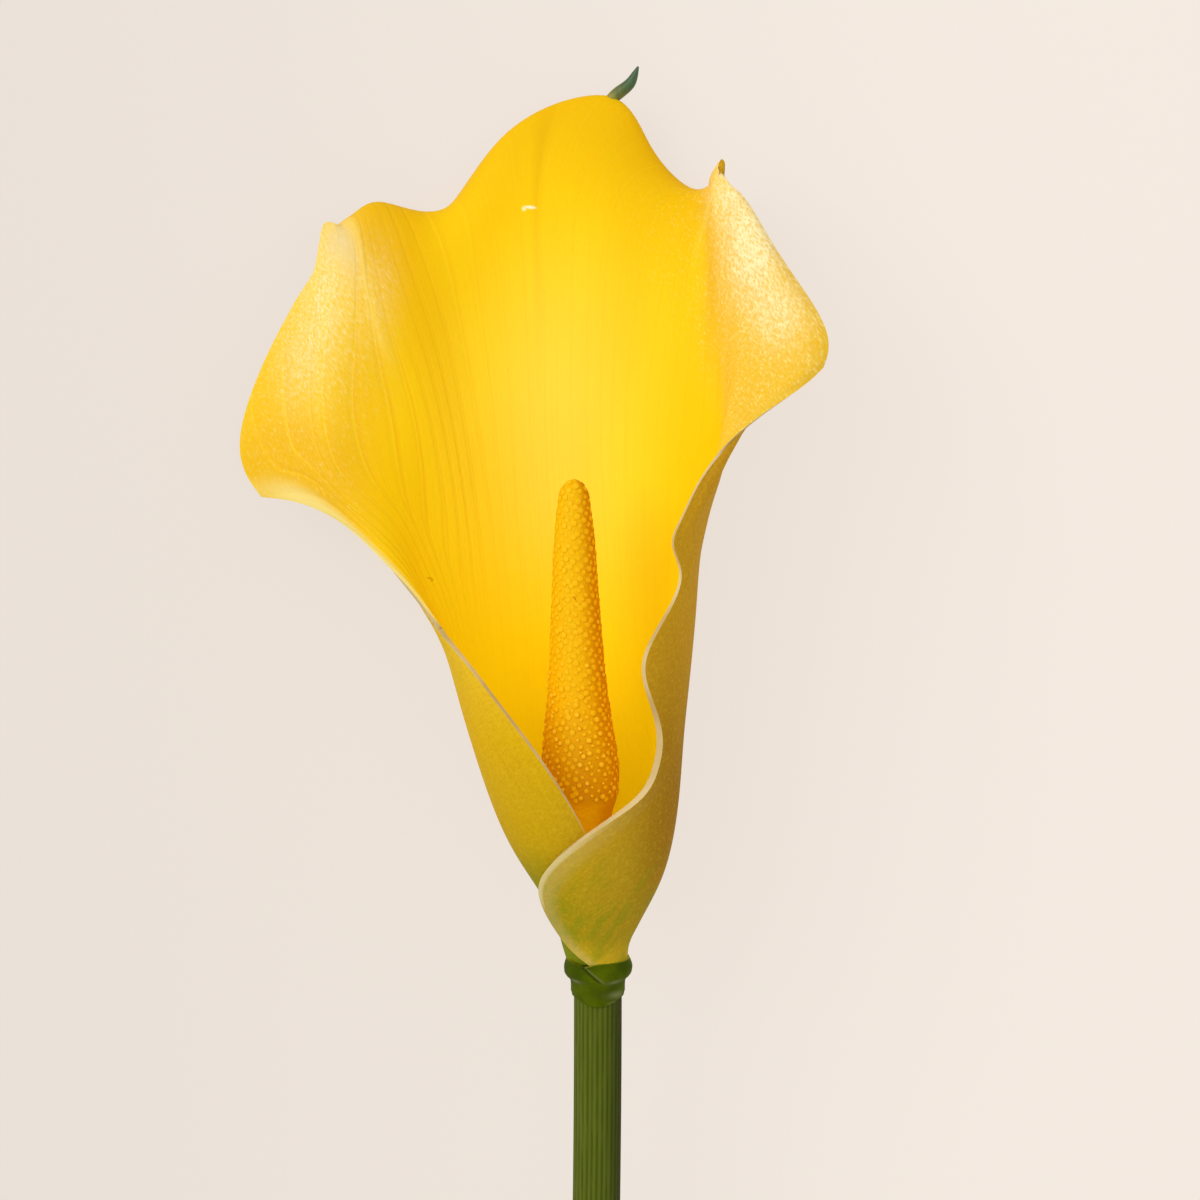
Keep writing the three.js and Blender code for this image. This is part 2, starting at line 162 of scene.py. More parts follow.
def natural_spline(values):
    """Natural cubic spline through evenly spaced values, read at u from 0 to 1.

    The values may be numbers or arrays of one shape. Rows can also be read at a u for each of
    their columns."""
    values = np.asarray(values, float)
    last = len(values) - 1
    bend = np.zeros_like(values)
    sweep = np.zeros(last + 1)
    for i in range(1, last):
        pivot = 4 - sweep[i - 1]
        load = 6 * (values[i - 1] - 2 * values[i] + values[i + 1])
        sweep[i] = 1 / pivot
        bend[i] = (load - bend[i - 1]) / pivot
    for i in range(last - 1, 0, -1):
        bend[i] -= sweep[i] * bend[i + 1]

    def read(u, columns=...):
        u = np.asarray(u, float)
        i = np.clip(np.floor(u * last).astype(int), 0, last - 1)
        f = u * last - i
        g = 1 - f
        return (g * values[i, columns] + f * values[i + 1, columns]
                + ((g ** 3 - g) * bend[i, columns] + (f ** 3 - f) * bend[i + 1, columns]) / 6)

    return read


def grow(x, low, high):
    """Rises smoothly from 0 at low to 1 at high."""
    t = np.clip((np.asarray(x, float) - low) / (high - low), 0, 1)
    return t * t * (3 - 2 * t)


def fade(x, low, high):
    """Falls smoothly from 1 at low to 0 at high."""
    return grow(-x, -high, -low)


def swell(x, centre, width):
    """Soft rise and fall, 1 at its centre."""
    return np.exp(-((x - centre) / width) ** 2)


def unit(vectors):
    return vectors / np.linalg.norm(vectors, axis=-1, keepdims=True)


def rows(*columns):
    return np.stack(columns, axis=-1)


def patch(places, centre, reach):
    """Soft round patch on rows of places, 1 at its centre."""
    gap = (places - np.array(centre)) / np.array(reach)
    return np.exp(-(gap ** 2).sum(axis=-1))


def patches(places, spots):
    return sum(strength * patch(places, centre, reach) for strength, centre, reach in spots)


def turn_gap(turn, centre):
    """From a turn round the axis to another, between half a turn back and half a turn on."""
    return (turn - centre + math.pi) % (2 * math.pi) - math.pi


def profile_at(positions, values, x):
    """Smooth reading of a profile that never overshoots its points."""
    positions = np.asarray(positions, float)
    values = np.asarray(values, float)
    slopes = np.diff(values) / np.diff(positions)
    product = slopes[:-1] * slopes[1:]
    total = np.where(product > 0, slopes[:-1] + slopes[1:], 1)
    inner = np.where(product > 0, 2 * product / total, 0)
    tangents = np.concatenate([slopes[:1], inner, slopes[-1:]])
    x = np.clip(x, positions[0], positions[-1])
    i = np.clip(np.searchsorted(positions, x, side="right") - 1, 0, len(positions) - 2)
    width = positions[i + 1] - positions[i]
    f = (x - positions[i]) / width
    g = 1 - f
    return (g * g * (1 + 2 * f) * values[i] + f * f * (3 - 2 * f) * values[i + 1]
            + width * f * g * (g * tangents[i] - f * tangents[i + 1]))


def round_path(centre, ahead, turn, radius):
    """Points round a path that runs ahead, its turn measured from the back to the right."""
    ahead = unit(ahead)
    side = unit(np.cross(ahead, [0, 0, 1]))
    front = np.cross(side, ahead)
    side *= np.sign(side[:, :1])
    front *= np.sign(front[:, 2:])
    return (centre + (radius * np.sin(turn))[:, None] * side
            - (radius * np.cos(turn))[:, None] * front)


# ---- Sheet ----

def sheet_turns(across, along):
    """Turn, radius and height of the sheet at matching arrays of across (-1 to 1), along (0 to 1)."""
    u = (across + 1) / 2
    hoops = np.array([[natural_spline(line)(u) for line in zip(*hoop)] for hoop in SHEET_HOOPS])
    columns = np.arange(len(u))
    turn, radius, height = (natural_spline(hoops[:, k])(along, columns) for k in range(3))
    for place, reach, degrees in EDGE_BENDS:
        turn = turn + degrees * patch(rows(across, along), place, reach)
    return turn, radius, height


def sheet_points(across, along):
    """Points of the sheet's middle surface: right, up, front in millimetres."""
    turn, radius, height = sheet_turns(across, along)
    angle = np.radians(turn)
    rise = np.maximum(height - SHEET_LEAN["from"], 0)
    return rows(SHEET_LEAN["right"] * rise + radius * np.sin(angle), height,
                SHEET_LEAN["front"] * rise - radius * np.cos(angle))


def sheet_normals(across, along, step=0.002):
    up = (sheet_points(across, np.minimum(along + step, 1))
          - sheet_points(across, np.maximum(along - step, 0)))
    over = (sheet_points(np.minimum(across + step, 1), along)
            - sheet_points(np.maximum(across - step, -1), along))
    return unit(np.cross(over, up))


def sheet_thickness(along):
    below = along < BELLY_ALONG
    spread = np.where(below, along / BELLY_ALONG, (1 - along) / (1 - BELLY_ALONG))
    end = np.where(below, SHEET_THICKNESS["foot"], SHEET_THICKNESS["rim"])
    return end + (SHEET_THICKNESS["belly"] - end) * spread * spread * (3 - 2 * spread)


def turned(points):
    """Flower frame (right, up, front) turned to lie down, still in millimetres."""
    right, up, front = np.moveaxis(np.asarray(points, float), -1, 0)
    return rows(right, up * math.cos(HEAD_LIFT) - front * math.sin(HEAD_LIFT),
                up * math.sin(HEAD_LIFT) + front * math.cos(HEAD_LIFT) + AXIS_HEIGHT)


def frame_shift():
    """Where the flower's axis foot lies in the frame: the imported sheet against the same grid."""
    across, along = np.meshgrid(np.linspace(-1, 1, SOLID_CELLS[0] + 1),
                                np.linspace(0, 1, SOLID_CELLS[1] + 1))
    across, along = across.ravel(), along.ravel()
    half = sheet_thickness(along)[:, None] / 2 * sheet_normals(across, along)
    middle = sheet_points(across, along)
    faces = np.concatenate([turned(middle + half), turned(middle - half)])
    low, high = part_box("spathe")
    right = (low.x + high.x) / 2 / MM - (faces[:, 0].min() + faces[:, 0].max()) / 2
    return right, low.y / MM - faces[:, 1].min()


SHIFT = frame_shift()


def lay_down(points, clearance=0.0):
    """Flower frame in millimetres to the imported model's frame in metres, kept above the floor."""
    laid = turned(points) + np.array([SHIFT[0], SHIFT[1], 0])
    laid[..., 2] = np.maximum(laid[..., 2], clearance)
    return laid * MM


# ---- Mesh helpers ----

def add_object(name, data):
    thing = bpy.data.objects.new(name, data)
    bpy.context.scene.collection.objects.link(thing)
    return thing


def add_mesh(name, bm, materials):
    """Turns a bmesh into an object."""
    mesh = bpy.data.meshes.new(name)
    bm.to_mesh(mesh)
    bm.free()
    for material in materials:
        mesh.materials.append(material)
    return add_object(name, mesh)


def finish_piece(name, bm, node, *materials):
    """Turns a bmesh into a smooth-shaded piece that stands for a node and rides on the flower."""
    for face in bm.faces:
        face.smooth = True
    piece = add_mesh(name, bm, materials)
    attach(piece, BODY)
    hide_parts(node)
    return piece


def place_vertices(bm, points, clearance=0.0):
    """Moves the vertices to points in the flower frame, in their order."""
    for vertex, point in zip(bm.verts, lay_down(points, clearance)):
        vertex.co = point


def corners(bm):
    return np.array([vertex.co[:] for vertex in bm.verts])


def closed_net(around, rings):
    """A ball's net to wrap round a shape, with each vertex's turn and its ring, from 0 to rings."""
    bm = bmesh.new()
    bmesh.ops.create_uvsphere(bm, u_segments=around, v_segments=rings, radius=1.0)
    bm.verts.index_update()
    ball = corners(bm)
    turn = np.arctan2(ball[:, 0], -ball[:, 1])
    ring = np.rint(np.arccos(np.clip(-ball[:, 2], -1, 1)) / math.pi * rings).astype(int)
    return bm, turn, ring


def closed_piece(name, bm, points, node, *materials):
    """Wraps a ball's net round a shape and finishes it as a piece."""
    place_vertices(bm, points)
    bm.normal_update()
    bmesh.ops.recalc_face_normals(bm, faces=bm.faces)
    return finish_piece(name, bm, node, *materials)


def keep_masks(piece, **masks):
    """Keeps a number for each vertex under each name, for the materials."""
    for name, values in masks.items():
        layer = piece.data.attributes.new(name, "FLOAT", "POINT")
        layer.data.foreach_set("value", np.asarray(values, np.float32))


# ---- Materials ----

def linear(colour):
    """A colour read in 0..255 as the linear values that the shader takes."""
    shares = (c / 255 for c in colour)
    return (*(c / 12.92 if c <= 0.04045 else ((c + 0.055) / 1.055) ** 2.4 for c in shares), 1)


class Finish:
    """One procedural material: a base colour with coats over it, and a bump.

    An input may be a link, a number, a colour in 0..255 or the name of a mask."""

    SOCKETS = {"rough": "Roughness", "shine": "Specular IOR Level", "soft": "Subsurface Weight",
               "soft_depth": "Subsurface Scale", "soft_tint": "Subsurface Radius"}

    def __init__(self, name, **shader):
        self.material = bpy.data.materials.new(name)
        self.material.use_nodes = True
        self.nodes = self.material.node_tree.nodes
        self.shader = self.nodes["Principled BSDF"]
        self.base = None
        for key, value in shader.items():
            self.shader.inputs[self.SOCKETS[key]].default_value = value

    def feed(self, socket, value):
        if isinstance(value, str):
            value = self.add("Attribute", "Fac", attribute_name=value)
        if isinstance(value, bpy.types.NodeSocket):
            self.material.node_tree.links.new(value, socket)
        elif socket.type == "RGBA" and len(value) == 3:
            socket.default_value = linear(value)
        else:
            socket.default_value = value

    def add(self, kind, output, inputs=None, **settings):
        """Adds a node and returns one of its outputs."""
        node = self.nodes.new("ShaderNode" + kind)
        for key, value in settings.items():
            setattr(node, key, value)
        for key, value in (inputs or {}).items():
            self.feed(node.inputs[key], value)
        return node.outputs[output]

    def stretched(self, vector, **how):
        """Coordinates mapped by Scale or Rotation."""
        return self.add("Mapping", "Vector", {"Vector": vector, **how})

    def places(self, scale=1, turn=0.0):
        """Object coordinates in metres, turned about Z by turn radians, then stretched by scale."""
        vector = self.add("TexCoord", "Object")
        if turn:
            vector = self.stretched(vector, Rotation=(0, 0, turn))
        return self.stretched(vector, Scale=scale if isinstance(scale, tuple) else (scale,) * 3)

    def unrolled(self, scale=(1, 1, 1)):
        """The sheet's veins side by side and their run from foot to rim, stretched by scale."""
        return self.stretched(self.add("UVMap", "UV", uv_map="UVMap"), Scale=scale)

    def noise(self, vector, detail, roughness=0.5):
        return self.add("TexNoise", "Fac", {"Vector": vector, "Scale": 1.0, "Detail": detail,
                                            "Roughness": roughness})

    def grain(self, scale, detail=3.0, roughness=0.5, turn=0.0):
        """Noise over the object, finer by scale."""
        return self.noise(self.places(scale, turn), detail, roughness)

    def streaks(self, scale, detail=2.0):
        """Noise along the sheet's veins."""
        return self.noise(self.unrolled(scale), detail)

    def math(self, operation, a, b=0.0, clamp=False):
        return self.add("Math", "Value", {0: a, 1: b}, operation=operation, use_clamp=clamp)

    def times(self, a, b, clamp=False):
        return self.math("MULTIPLY", a, b, clamp)

    def plus(self, *terms):
        return functools.reduce(lambda a, b: self.math("ADD", a, b), terms)

    def spread(self, value, low, high, to_low=0.0, to_high=1.0):
        """Maps low..high smoothly to to_low..to_high."""
        return self.add("MapRange", "Result", {
            "Value": value, "From Min": low, "From Max": high, "To Min": to_low, "To Max": to_high,
        }, interpolation_type="SMOOTHSTEP")

    def mix(self, share, a, b):
        return self.add("Mix", 2, {"Factor": share, 6: a, 7: b}, data_type="RGBA")

    def ramp(self, value, stops):
        colour = self.add("ValToRGB", "Color", {"Fac": value})
        elements = colour.node.color_ramp.elements
        while len(elements) < len(stops):
            elements.new(0.5)
        for element, (place, stop) in zip(elements, stops):
            element.position = place
            element.color = linear(stop)
        return colour

    def coat(self, share, colour):
        """Lays a colour over the base colour."""
        self.base = self.mix(share, self.base, colour)

    def stain(self, centre, reach, turn, colour):
        """Colours a small spot of the flower that fades out at its reach, in millimetres."""
        middle = tuple(lay_down(np.array(centre, float)))
        away = self.add("VectorMath", "Vector", {0: self.places(), 1: middle}, operation="SUBTRACT")
        away = self.stretched(self.stretched(away, Rotation=(0, 0, turn)),
                              Scale=[1 / (r * MM) for r in reach])
        far = self.add("VectorMath", "Value", {0: away}, operation="LENGTH")
        self.coat(self.spread(far, 0.3, 1.0, 1.0, 0.0), colour)

    def set(self, socket, value):
        self.feed(self.shader.inputs[socket], value)

    def done(self, height, depth):
        """The material with its base colour and a bump whose full height is depth metres."""
        self.set("Base Color", self.base)
        self.set("Normal", self.add("Bump", "Normal", {"Height": height, "Distance": depth}))
        return self.material


def petal_inside():
    """Bright yellow face: soft veins with painted shade and highlight, pale waxy wings with painted sheen, a
    painted pool of light on the back panel, and a deeper orange towards the rim that is partly painted shade,
    with painted shade in its folds, creases and on the wings.
    """
    f = Finish("petal_inside", rough=0.6, shine=0.07, soft=0.15, soft_depth=0.003, soft_tint=(1.0, 0.6, 0.1))
    broad = f.grain((60, 25, 60), detail=2)
    f.base = f.mix(f.spread(broad, 0.3, 0.7), (252, 206, 4), (254, 214, 12))
    # painted shade in the folds, creases, valley and on the wings, over a deeper orange towards the rim
    f.coat("deep", (231, 180, 0))
    # veins run side by side from the foot to the rim, in uneven steps; each vein's groove gets painted shade
    # and its side a painted highlight
    lane = f.add("SeparateXYZ", "X", {"Vector": f.unrolled()})
    lane = f.plus(f.times(lane, 17.0), f.times(f.streaks((4, 1.2, 1)), 2.0))
    step = f.math("FRACT", lane)
    vein = f.times(f.spread(step, 0.0, 0.26, 1.0, 0.0), "veined")
    glint = f.times(f.spread(step, 0.86, 0.98), "veined")
    shoulder = f.times(f.spread(f.math("PINGPONG", lane, 0.5), 0.02, 0.3), "veined")
    fine = f.streaks((110, 3, 1))
    # painted light: a lighter middle of the back panel
    f.coat("bright", (255, 226, 84))
    # painted shade in each vein's groove and a painted highlight on its side
    f.coat(f.times(vein, 0.5), (240, 176, 2))
    f.coat(f.times(glint, 0.3), (255, 222, 40))
    f.coat(f.spread(fine, 0.45, 0.75, 0.0, 0.1), (244, 186, 4))
    # pale waxy cast, broken into fine slanting grains: painted sheen over the wings' paler colour, with
    # painted glints in its flecks
    grain = f.grain((3500, 1100, 2200), roughness=0.6, turn=math.radians(-30))
    cast = f.times("pale", f.spread(grain, 0.32, 0.66, 0.3, 1.25), clamp=True)
    fleck = f.times("pale", f.spread(grain, 0.58, 0.7), clamp=True)
    dust = f.times("dusty", f.spread(grain, 0.56, 0.68), clamp=True)
    f.coat(cast, (253, 236, 182))
    f.coat(f.times(fleck, 0.8), (255, 249, 226))
    # painted sheen in fine grains on the wings
    f.coat(dust, (255, 230, 120))
    # painted sheen, greyish, at the left wing's knob
    f.coat("grey", (226, 205, 150))
    # painted highlight along the crests of the folds
    f.coat(f.times("fold", 0.3), (255, 226, 110))
    f.coat("margin", (240, 214, 122))
    f.coat("foot", (150, 160, 30))
    for mark in PETAL_MARKS:
        f.stain(*mark)
    # painted light: the throat glows, standing in for light that comes through the thin sheet
    f.set("Emission Color", (226, 255, 0))
    f.set("Emission Strength", f.times("glow", 0.2))
    dimples = f.grain(1500, detail=2)
    return f.done(f.plus(f.times(dimples, 0.25), f.times(shoulder, 0.6), "fold",
                         f.times(fine, 0.25), f.times(cast, f.times(grain, 0.5))), 0.00014)


def petal_outside():
    """Back of the petal: beige yellow to olive on the left, mottled brown gold on the right, darkened there
    by painted shade.
    """
    f = Finish("petal_outside", rough=0.7, shine=0.04, soft=0.06, soft_depth=0.002, soft_tint=(1.0, 0.7, 0.1))
    left = f.ramp("high", [(0.0, (142, 134, 8)), (0.35, (192, 156, 10)), (0.7, (216, 172, 10)),
                           (1.0, (226, 186, 40))])
    # painted shade darkens the right side
    right = f.mix("shade", f.mix("high", (172, 144, 24), (202, 152, 32)), (146, 98, 6))
    f.base = f.mix("gold", left, right)
    f.coat(f.spread(f.grain((90, 40, 90)), 0.35, 0.7, 0.0, 0.25), (200, 160, 20))
    streak = f.streaks((150, 4, 1), detail=3)
    f.coat(f.spread(streak, 0.45, 0.75, 0.0, 0.16), (150, 116, 6))
    f.coat("foot", (196, 164, 30))
    mottle = f.grain((3000, 1500, 2200), detail=4, roughness=0.6, turn=math.radians(50))
    f.coat(f.spread(mottle, 0.48, 0.68, 0.0, 0.22), (226, 188, 46))
    f.coat(f.spread(mottle, 0.32, 0.52, 0.2, 0.0), (150, 116, 4))
    moss = f.grain((900, 220, 500), turn=math.radians(35))
    f.coat(f.times(f.spread(moss, 0.4, 0.7), "mossy"), (128, 138, 14))
    f.coat("lip", (214, 198, 138))
    f.coat("green_foot", (106, 124, 16))
    return f.done(f.plus(f.times(streak, 0.6), f.grain(1300)), 0.0001)


def petal_edge():
    """The cut-like free edge: pale, slightly brown in places."""
    f = Finish("petal_edge", rough=0.5, shine=0.12, soft=0.1, soft_depth=0.001)
    f.base = f.mix(f.spread(f.grain(120), 0.3, 0.75), (214, 192, 140), (190, 164, 106))
    f.coat("warm_edge", (244, 202, 60))
    f.coat("brown", (112, 80, 34))
    return f.done(f.grain(900), 0.00008)


def horn_green():
    """Leathery dark green tip, olive where it leaves the petal."""
    f = Finish("horn_green", rough=0.45, soft=0.08, soft_depth=0.001)
    f.base = f.ramp("rise", [(0.0, (170, 150, 30)), (0.22, (104, 110, 30)), (0.5, (58, 88, 44)),
                             (1.0, (66, 98, 64))])
    grain = f.grain((900, 500, 900))
    f.coat(f.spread(grain, 0.35, 0.7, 0.0, 0.35), (40, 66, 30))
    return f.done(grain, 0.0001)


def column_orange():
    """Waxy orange of the column's body between its florets, deeper lower down and darkened on its right side
    by painted shade.
    """
    f = Finish("column_orange", rough=0.55, shine=0.08, soft=0.05, soft_depth=0.0008)
    # deeper orange lower down, and painted shade on the right side
    f.base = f.mix("low", (242, 186, 0), (216, 146, 0))
    f.coat(f.spread(f.grain(420), 0.35, 0.7, 0.0, 0.12), (224, 148, 0))
    f.stain(*COLUMN_MARK)
    return f.done(f.grain(1600), 0.00015)


def floret_gold():
    """Florets: orange at their foot, paler yellow at the tip, each a little different; deeper orange lower
    down, and painted shade on the column's right side.
    """
    f = Finish("floret_gold", rough=0.5, shine=0.1, soft=0.04, soft_depth=0.0003)
    # deeper orange lower down, and painted shade on the right side
    f.base = f.mix("low", (242, 186, 0), (216, 146, 0))
    f.coat("tip", f.mix("pale", (246, 190, 2), (253, 206, 40)))
    grain = f.grain(2400, detail=2)
    f.coat(f.spread(grain, 0.4, 0.8, 0.0, 0.12), (226, 150, 0))
    f.stain(*COLUMN_MARK)
    return f.done(grain, 0.00006)


def stem_green():
    """Ribbed green stem, lighter on its ribs, with fine pale streaks along it and painted shade on its right
    side.
    """
    f = Finish("stem_green", rough=0.55, shine=0.07, soft=0.05, soft_depth=0.001)
    f.base = f.mix("rib", (64, 74, 6), (88, 100, 22))
    streak = f.grain((1500, 26, 1500))
    f.coat(f.spread(streak, 0.4, 0.75, 0.0, 0.4), (102, 112, 38))
    f.coat(f.spread(f.grain((70, 22, 70), detail=2), 0.35, 0.75, 0.0, 0.3), (62, 78, 6))
    # painted shade on the right side
    f.coat("shade", (30, 38, 2))
    return f.done(f.plus(streak, f.grain((900, 240, 900))), 0.0001)


def stem_cut():
    """Cut end: pale wet pith with the ends of the strands."""
    f = Finish("stem_cut", rough=0.3, soft=0.2, soft_depth=0.001)
    f.base = f.mix("rim", (206, 212, 150), (112, 134, 48))
    strands = f.add("TexVoronoi", "Distance", {"Vector": f.places(1100), "Scale": 1.0})
    f.coat(f.spread(strands, 0.12, 0.3, 0.7, 0.0), (120, 132, 58))
    return f.done(strands, 0.00012)


def collar_green():
    """Smooth dark green collar with painted shade in its creases and under its front, a dry pale skin at its
    skirt, and painted highlights beside its groove and on its ring step.
    """
    f = Finish("collar_green", rough=0.6, shine=0.03, soft=0.06, soft_depth=0.001)
    cloud = f.grain(260)
    f.base = f.mix(f.spread(cloud, 0.3, 0.75), (58, 74, 0), (84, 98, 0))
    f.coat("lip", (176, 158, 30))
    # painted shade in the creases and under the front
    f.coat("crease", (52, 62, 6))
    # dry pale skin at the skirt, and painted highlights beside the groove and on the ring step
    f.coat("skin", (150, 152, 104))
    return f.done(f.plus(cloud, f.times(f.grain((1100, 700, 1100), detail=2), 0.4)), 0.0002)


# ---- Settings a user may change ----

class SheetSettings(PropertyGroup):
    cells_round: IntProperty(name="Cells round", description="Cells from edge to edge",
                             default=210, min=60, max=260)
    cells_along: IntProperty(name="Cells along", description="Cells from foot to rim",
                             default=170, min=40, max=200)
    edge_rounding: FloatProperty(name="Edge rounding", description="Radius of the free edges",
                                 default=0.00014, unit="LENGTH", min=0, max=0.0004, precision=5)


class ColumnSettings(PropertyGroup):
    floret_spacing: FloatProperty(name="Floret spacing", description="From floret to floret",
                                  default=0.00112, unit="LENGTH", min=0.0008, precision=5)
    pale_share: FloatProperty(name="Pale share", description="Share of pale florets low down",
                              default=0.4, min=0, max=1, subtype="FACTOR")


class StemSettings(PropertyGroup):
    radius: FloatProperty(name="Radius", description="Radius over the ribs", default=0.0034,
                          unit="LENGTH", precision=4)
    ribs: IntProperty(name="Ribs", description="Ribs round the stem", default=29, min=3)
    rib_depth: FloatProperty(name="Rib depth", description="Depth between the ribs",
                             default=0.0001, unit="LENGTH", precision=5)


class StageSettings(PropertyGroup):
    floor: FloatVectorProperty(name="Floor", description="Colour of the floor", subtype="COLOR",
                               size=3, default=(0.86, 0.785, 0.72), min=0, max=1)
    glow: FloatProperty(name="Floor glow", description="Share of the floor's light from within",
                        default=0.84, min=0, max=1, subtype="FACTOR")
    key: FloatProperty(name="Key light", description="Strength of the key light in watts",
                       default=3.5, min=0)
    fill: FloatProperty(name="Fill light", description="Strength of the surroundings",
                        default=0.76, min=0)


# ---- Operators ----

class CALLA_OT_sheet(Operator):
    """Add the rolled yellow sheet with its free edges"""

    bl_idname = "calla.sheet"
    bl_label = "Add Sheet"

    def execute(self, context):
        settings = context.scene.calla_sheet
        bm = bmesh.new()
        bm.loops.layers.uv.new("UVMap")
        bmesh.ops.create_grid(bm, x_segments=settings.cells_round, y_segments=settings.cells_along,
                              size=1.0, calc_uvs=True)
        grid = corners(bm)
        across, along = grid[:, 0], (grid[:, 1] + 1) / 2
        points = sheet_points(across, along)
        for place, reach, moved in SWELLS:
            points = points + patch(rows(across, along), place, reach)[:, None] * np.array(moved)
        place_vertices(bm, points, sheet_thickness(along) / 2)
        self.lay_veins(bm, across, along)
        piece = finish_piece("spathe_sheet", bm, "spathe", petal_inside(), petal_outside(), petal_edge())
        self.paint_inside(piece, across, along, points)
        self.paint_outside(piece, across, along, points)
        self.thicken(piece, settings.edge_rounding, across, along)
        return {"FINISHED"}

    @staticmethod
    def lay_veins(bm, across, along):
        """Unrolls the sheet by its veins, which turn to run beside the free edges near the rim."""
        width = np.abs(across)
        beside_edge = 1.4 * width + 0.038 - 0.45 * np.maximum(along, 0.4)
        over_wing = 0.395 * width + 0.672 * along - 0.057
        bend = np.sqrt(((over_wing - beside_edge) / 2) ** 2 + 0.008 ** 2)
        lane = (over_wing + beside_edge) / 2 + bend
        share = grow(width, 0.3, 0.56) * np.where(across < 0, 1, 0.5)
        lane = (width + share * (lane - width)) * np.sign(across)
        unrolled = bm.loops.layers.uv.active
        bm.verts.index_update()
        for face in bm.faces:
            for loop in face.loops:
                vertex = loop.vert.index
                loop[unrolled].uv = (lane[vertex], along[vertex])

    @staticmethod
    def paint_inside(piece, across, along, points):
        """Soft masks of the yellow face."""
        def rimward(low, high):
            return grow(along, low, high)

        left = -across
        high = rimward(0.68, 0.8)
        left_wing = grow(left, 0.44, 0.53) * high
        right_wing = grow(across, 0.44, 0.56) * high
        panel = (1 - grow(left, 0.44, 0.53)) * (1 - grow(across, 0.4, 0.5))
        slant = across - 1.2 * (0.9 - along)
        beyond_crease = grow(slant, 0.43, 0.47) * high
        right_crease = swell(slant, 0.42, 0.04)
        left_crease = swell(across, -0.425, 0.03) * rimward(0.7, 0.8)
        throatward = grow(left, 0.55, 0.75) * fade(along, 0.6, 0.75)
        # pale: painted sheen over the wings' paler colour
        pale = (0.04 * left_wing + 0.05 * right_wing + 0.06 * beyond_crease
                + patches(points, PALE_PATCHES))
        # ridges of the folds, which also carry a painted highlight
        fold = (swell(across, -0.475, 0.011) * rimward(0.72, 0.82)
                + 0.6 * swell(across, 0.445, 0.012) * rimward(0.78, 0.86))
        # painted shade in folds, creases, the valley and on the wings, and a deeper orange towards the rim
        deep = (0.9 * rimward(0.7, 0.95) * panel
                + 0.5 * left_wing + 0.3 * grow(left, 0.6, 0.9) * rimward(0.5, 0.7)
                + 0.6 * right_wing + 0.25 * grow(across, 0.0, 0.3) * rimward(0.55, 0.7)
                + 0.55 * swell(across, -0.38, 0.08) * rimward(0.5, 0.75)
                + 0.6 * right_crease * rimward(0.76, 0.86)
                + 0.35 * swell(across, -0.065, 0.012) * rimward(0.6, 0.72)
                + patches(points, DEEP_PATCHES))
        veined = 0.18 + 0.72 * grow(left, 0.15, 0.45) * rimward(0.42, 0.6)
        veined = (veined + 0.3 * right_wing) * (1 - 0.6 * rimward(0.88, 0.98))
        # painted sheen in grains, mostly on the right wing
        dusty = 0.35 * right_wing + 0.16 * left_wing + 0.22 * grow(across, 0.1, 0.4) * high
        margin = grow(left, 0.935, 0.985) * rimward(0.5, 0.62)
        keep_masks(
            piece,
            pale=np.clip(pale, 0, 1),
            fold=fold * (1 - rimward(0.94, 0.99)),
            # painted sheen, greyish, at the left wing's knob
            grey=patches(points, GREY_PATCHES) * left_wing,
            deep=np.clip(deep, 0, 1),
            # painted light on the middle of the back panel
            bright=0.6 * swell(across, 0, 0.3) * rimward(0.4, 0.55) * fade(along, 0.6, 0.8),
            veined=np.clip(veined * (1 - 0.8 * left_crease) * (1 - 0.45 * throatward), 0, 1),
            margin=margin * (1 - 0.6 * rimward(0.9, 1.0)),
            dusty=np.clip(dusty * (1 - 0.8 * right_crease), 0, 1),
            # painted light: where the throat glows
            glow=fade(along, 0.35, 0.62) * (0.6 + 0.4 * grow(across, 0.5, 0.9)),
            foot=0.9 * fade(points[:, 1], 5.5, 10),
        )

    @staticmethod
    def paint_outside(piece, across, along, points):
        """Soft masks of the back and of the free edges."""
        right, up = points[:, 0], points[:, 1]
        lip = grow(across, 0.966, 0.985) * fade(along, 0.27, 0.34) * grow(along, 0.16, 0.2)
        beside_lip = grow(across, 0.88, 0.96) * fade(along, 0.2, 0.4)
        keep_masks(
            piece,
            high=np.clip((up - 10) / 40, 0, 1),
            gold=grow(right, -9, 4),
            # painted shade on the right side, less high up
            shade=0.8 * grow(right, 2.5, 10) * (1 - 0.75 * grow(up, 30, 60)),
            mossy=0.5 * fade(up, 12, 26),
            green_foot=0.85 * fade(up, 10, 24) * grow(-across, -0.1, 0.3),
            lip=np.maximum(0.85 * lip, 0.22 * beside_lip),
            warm_edge=grow(along, 0.95, 0.99),
            brown=np.clip(patches(points, BROWN_PATCHES), 0, 1),
        )

